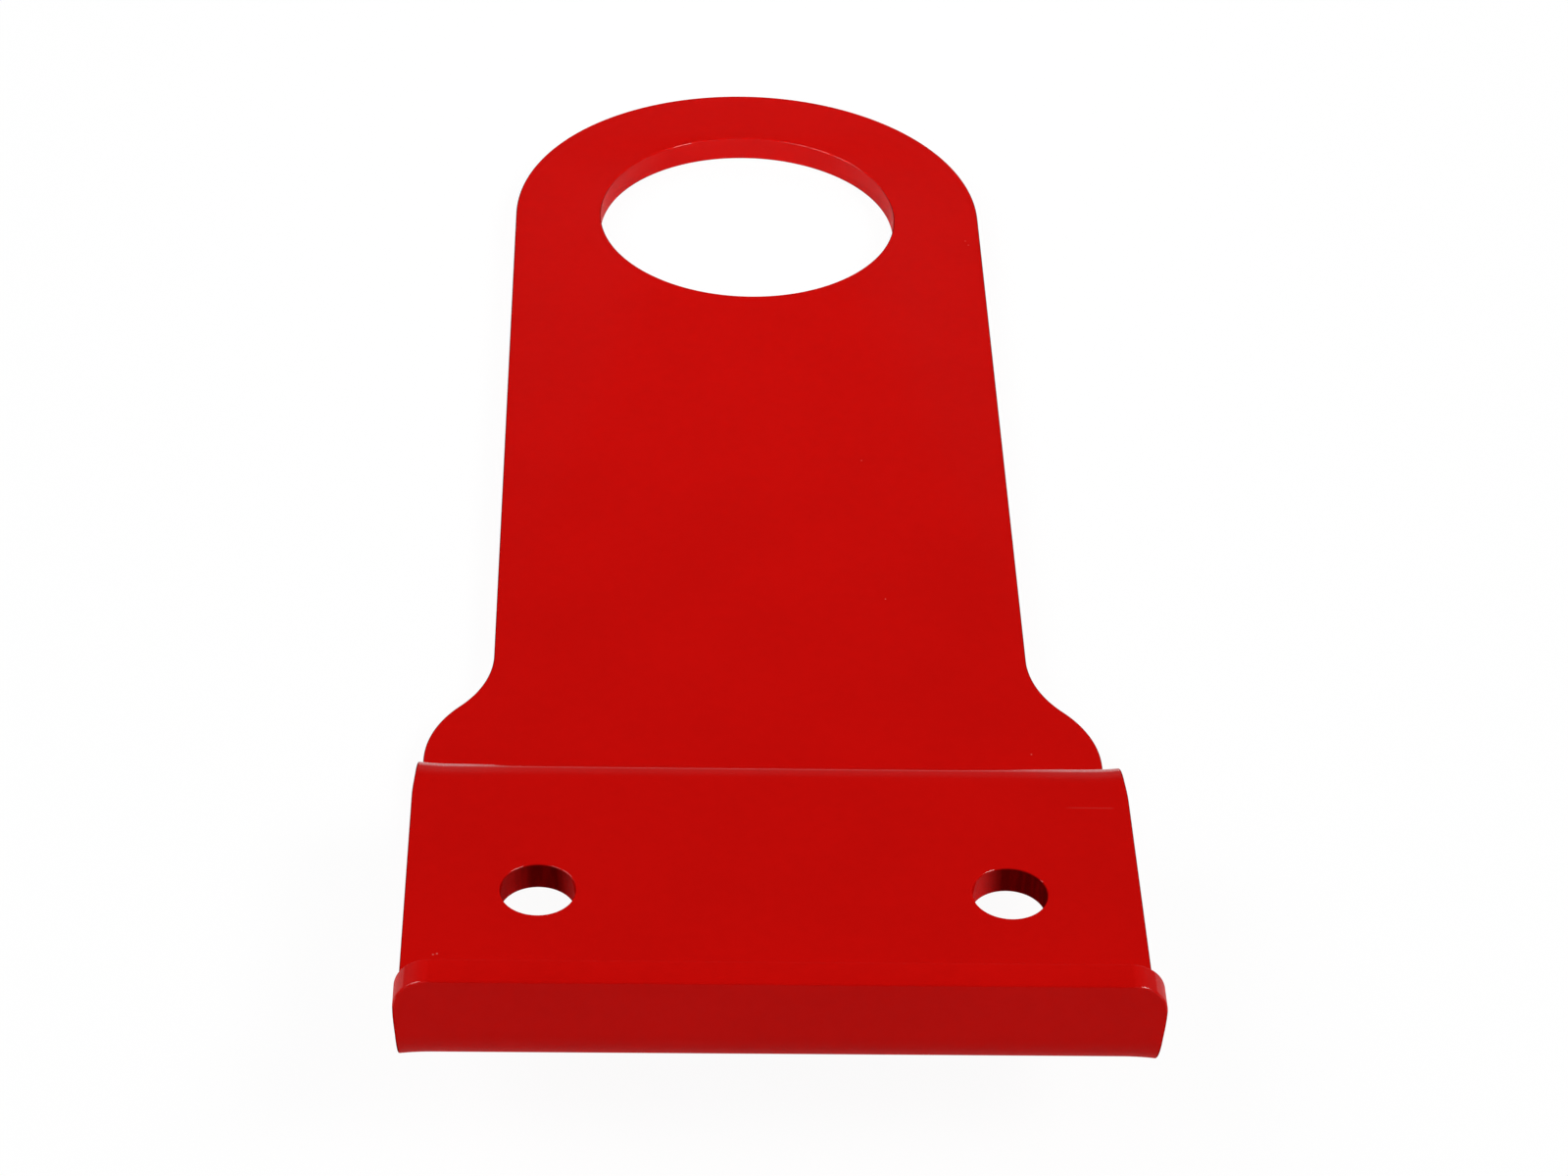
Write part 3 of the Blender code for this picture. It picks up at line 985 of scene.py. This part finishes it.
def edge_coat(groups, sizes, looks):
    """Coat on the cut edges: smooth on the wall, with painted shade on the rims and bright beads.

    The rims darken as they turn away from the view. The eye's wall and the lip's corners get a lighter
    red, which is painted light.
    """
    coat = CutCoat("red_coat_on_cut_edges", groups, sizes, looks)
    coat.feed("Roughness", looks.roughness)
    # Painted light: the eye's wall, the lip's corners and, at a share, the lip's inner edge get the lighter
    # red.
    red = coat.mix(coat.beads, opaque(looks.red), opaque(looks.edge_red_painted_lighter))
    # Painted shade: the rounded rims darken as they turn away from the view, except where the undarkened
    # share keeps them clear.
    corner = coat.times(coat.wall["Rim"], RIM_SHADE_WIDENING, clamp=True)
    corner = coat.times(corner, coat.math("SUBTRACT", 1.0, coat.cover))
    darkened = coat.times(corner, coat.ramp(coat.facing, *RIM_SHADE_FACING, 0.0, RIM_SHADE_SHARE))
    gloss = coat.times(coat.gloss, EDGE_GLOSS * looks.gloss)
    coat.dress(red, darkened, gloss, unbroken=0.0)
    coat.bump(coat.relief)
    return coat.material


def bolt_hole_coat(groups, sizes, looks):
    """Coat in the bolt holes, where little powder reaches: darkened by thinner coat and painted shade,
    streaked, with set beads.
    """
    coat = CutCoat("red_coat_in_bolt_holes", groups, sizes, looks)
    streak = coat.wall["Streak"]
    rough = looks.roughness + HOLE_ROUGHNESS
    coat.feed("Roughness", coat.ramp(streak, *NOISE_SPAN, looks.roughness, rough))
    # The walls darken from the lighter painted red: partly thinner coat, partly painted shade for how each
    # side is lit.
    streaked = coat.ramp(streak, *NOISE_SPAN, *STREAK_COVER)
    darkened = coat.times(streaked, coat.math("SUBTRACT", 1.0, coat.cover), clamp=True)
    darkened = coat.times(coat.wall["Wall"], darkened)
    gloss = coat.times(coat.cover, HOLE_GLOSS)
    coat.dress(opaque(looks.edge_red_painted_lighter), darkened, gloss, unbroken=1.0)
    streaks = coat.times(streak, looks.streak_depth)
    coat.bump(coat.math("ADD", streaks, coat.relief))
    return coat.material


def add_object(name, data):
    """A new object in the scene."""
    made = bpy.data.objects.new(name, data)
    bpy.context.scene.collection.objects.link(made)
    return made


def add_floor(looks):
    """A wide white floor under the plate, seen through from below."""
    mesh = bpy.data.meshes.new("floor")
    bm = bmesh.new()
    bmesh.ops.create_circle(bm, cap_ends=True, segments=FLOOR_SIDES, radius=looks.floor_radius)
    bm.to_mesh(mesh)
    bm.free()
    mesh.materials.append(floor_paint(looks))
    floor = add_object("floor", mesh)
    floor.location.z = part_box(CAD_NODE)[0].z


def floor_paint(looks):
    """White paper: it takes the plate's shadow, and the camera and reflections see it lifted to white."""
    material = bpy.data.materials.new("white_floor")
    material.use_nodes = True
    tree = material.node_tree
    tree.nodes.clear()
    shading = Shading(tree)
    rays = shading.node("ShaderNodeLightPath").outputs
    mirrored = shading.times(rays["Is Glossy Ray"], MIRRORED_GLOW)
    seen = shading.most(rays["Is Camera Ray"], rays["Is Transmission Ray"])
    seen = shading.most(seen, mirrored)
    paper = shading.node("ShaderNodeBsdfDiffuse")
    paper.inputs["Color"].default_value = PAPER_WHITE
    white = shading.node("ShaderNodeEmission")
    lifted = shading.node("ShaderNodeMixShader")
    shading.put(lifted.inputs[0], shading.times(seen, looks.floor_glow))
    shading.put(lifted.inputs[1], paper.outputs[0])
    shading.put(lifted.inputs[2], white.outputs[0])
    below = shading.node("ShaderNodeNewGeometry")
    clear = shading.node("ShaderNodeBsdfTransparent")
    sided = shading.node("ShaderNodeMixShader")
    shading.put(sided.inputs[0], below.outputs["Backfacing"])
    shading.put(sided.inputs[1], lifted.outputs[0])
    shading.put(sided.inputs[2], clear.outputs[0])
    shading.put(shading.node("ShaderNodeOutputMaterial").inputs["Surface"], sided.outputs[0])
    return material


def add_world():
    """Surroundings that the camera sees as white, and that light the plate dimly, most from low down."""
    world = bpy.data.worlds.new("studio")
    world.use_nodes = True
    bpy.context.scene.world = world
    shading = Shading(world.node_tree)
    _, _, up = shading.split(shading.node("ShaderNodeTexCoord").outputs["Generated"])
    light = shading.ramp(up, *LIGHT_HEIGHTS, LOW_LIGHT, HIGH_LIGHT)
    seen = shading.node("ShaderNodeLightPath").outputs["Is Camera Ray"]
    background = world.node_tree.nodes["Background"]
    background.inputs["Color"].default_value = (1.0, 1.0, 1.0, 1.0)
    shading.put(background.inputs["Strength"], shading.most(light, seen))


def add_lamp(name, place, target, size, power):
    """A rectangular softbox aimed at a point."""
    light = bpy.data.lights.new(name, "AREA")
    light.shape = "RECTANGLE"
    light.size, light.size_y = size
    light.energy = power
    lamp = add_object(name, light)
    lamp.location = place
    lamp.rotation_mode = "QUATERNION"
    lamp.rotation_quaternion = (Vector(place) - Vector(target)).to_track_quat("Z", "Y")
    lamp.visible_camera = False
    return lamp


def add_lamps(looks):
    """Two softboxes whose glints show in the rims, and two lights that are kept out of the gloss."""
    add_lamp("left_softbox", *LEFT_SOFTBOX, looks.left_power)
    add_lamp("right_softbox", *RIGHT_SOFTBOX, looks.right_power)
    back = add_lamp("back_light", *BACK_LIGHT, looks.back_power)
    spot = add_lamp("eye_spot", *EYE_SPOT, looks.eye_power)
    spot.data.spread = EYE_SPOT_SPREAD
    for lamp in (back, spot):
        lamp.visible_glossy = False


def add_camera(looks):
    """The camera, where the photograph was taken from."""
    data = bpy.data.cameras.new("camera")
    data.lens = looks.camera_lens
    data.sensor_fit = "HORIZONTAL"
    data.sensor_width = SENSOR_WIDTH
    data.clip_start = NEAREST_SEEN
    data.clip_end = FARTHEST_SEEN
    down, right, roll = looks.camera_down, looks.camera_right, looks.camera_roll
    ahead = Vector((math.sin(right) * math.cos(down), math.cos(right) * math.cos(down), -math.sin(down)))
    level = ahead.cross(Vector((0.0, 0.0, 1.0))).normalized()
    above = level.cross(ahead)
    side = level * math.cos(roll) + above * math.sin(roll)
    top = above * math.cos(roll) - level * math.sin(roll)
    camera = add_object("camera", data)
    turned = Matrix((side, top, -ahead)).transposed().to_4x4()
    camera.matrix_world = Matrix.Translation(Vector(looks.camera_place)) @ turned
    bpy.context.scene.camera = camera


class TOWHOOK_OT_plate(bpy.types.Operator):
    """Builds the folded plate with its powder coat, in place of the plain one."""

    bl_idname = "tow_hook.plate"
    bl_label = "Folded Plate"

    def execute(self, context):
        sizes = context.scene.tow_hook_sizes
        looks = context.scene.tow_hook_coat
        plate = folded_plate(sizes, context.scene.tow_hook_facets)
        groups = {
            "relief": coat_relief_group(),
            "mottle": coat_mottle_group(),
            "nibs": dust_nibs_group(),
            "wall": cut_wall_group(),
            "glints": rim_glints_group(),
        }
        for coat in (face_coat, edge_coat, bolt_hole_coat):
            plate.data.materials.append(coat(groups, sizes, looks))
        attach(plate, CAD_BODY)
        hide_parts(CAD_NODE)
        return {"FINISHED"}


class TOWHOOK_OT_stage(bpy.types.Operator):
    """Sets the floor, the softboxes, the surroundings and the camera."""

    bl_idname = "tow_hook.stage"
    bl_label = "Studio Stage"

    def execute(self, context):
        looks = context.scene.tow_hook_stage
        add_floor(looks)
        add_world()
        add_lamps(looks)
        add_camera(looks)
        context.scene.view_settings.view_transform = "Standard"
        return {"FINISHED"}


class TOWHOOK_PT_sidebar(bpy.types.Panel):
    """Lists the tow hook's sizes and finishes, and builds its pieces."""

    bl_idname = "TOWHOOK_PT_sidebar"
    bl_label = "Recovery Tow Hook"
    bl_space_type = "VIEW_3D"
    bl_region_type = "UI"
    bl_category = "Tow Hook"

    def draw(self, context):
        for name, (label, _) in SETTINGS.items():
            settings = getattr(context.scene, name)
            box = self.layout.box()
            box.label(text=label)
            for field in settings.__annotations__:
                box.prop(settings, field)
        self.layout.operator(TOWHOOK_OT_plate.bl_idname)
        self.layout.operator(TOWHOOK_OT_stage.bl_idname)


SETTINGS = {
    "tow_hook_sizes": ("Plate", PlateSizes),
    "tow_hook_facets": ("Facets", PlateFacets),
    "tow_hook_coat": ("Powder coat", CoatLooks),
    "tow_hook_stage": ("Stage", StageLooks),
}
CLASSES = (
    PlateSizes, PlateFacets, CoatLooks, StageLooks, TOWHOOK_OT_plate, TOWHOOK_OT_stage,
    TOWHOOK_PT_sidebar)


def register():
    """Registers the classes and hangs the settings on the scene."""
    for cls in CLASSES:
        bpy.utils.register_class(cls)
    for name, (_, settings) in SETTINGS.items():
        setattr(bpy.types.Scene, name, bpy.props.PointerProperty(type=settings))


def unregister():
    """Takes the settings off the scene and unregisters the classes."""
    for name in SETTINGS:
        delattr(bpy.types.Scene, name)
    for cls in reversed(CLASSES):
        bpy.utils.unregister_class(cls)


def main():
    """Builds the tow hook and its stage."""
    register()
    bpy.ops.tow_hook.stage()
    bpy.ops.tow_hook.plate()


if __name__ == "__main__":
    main()
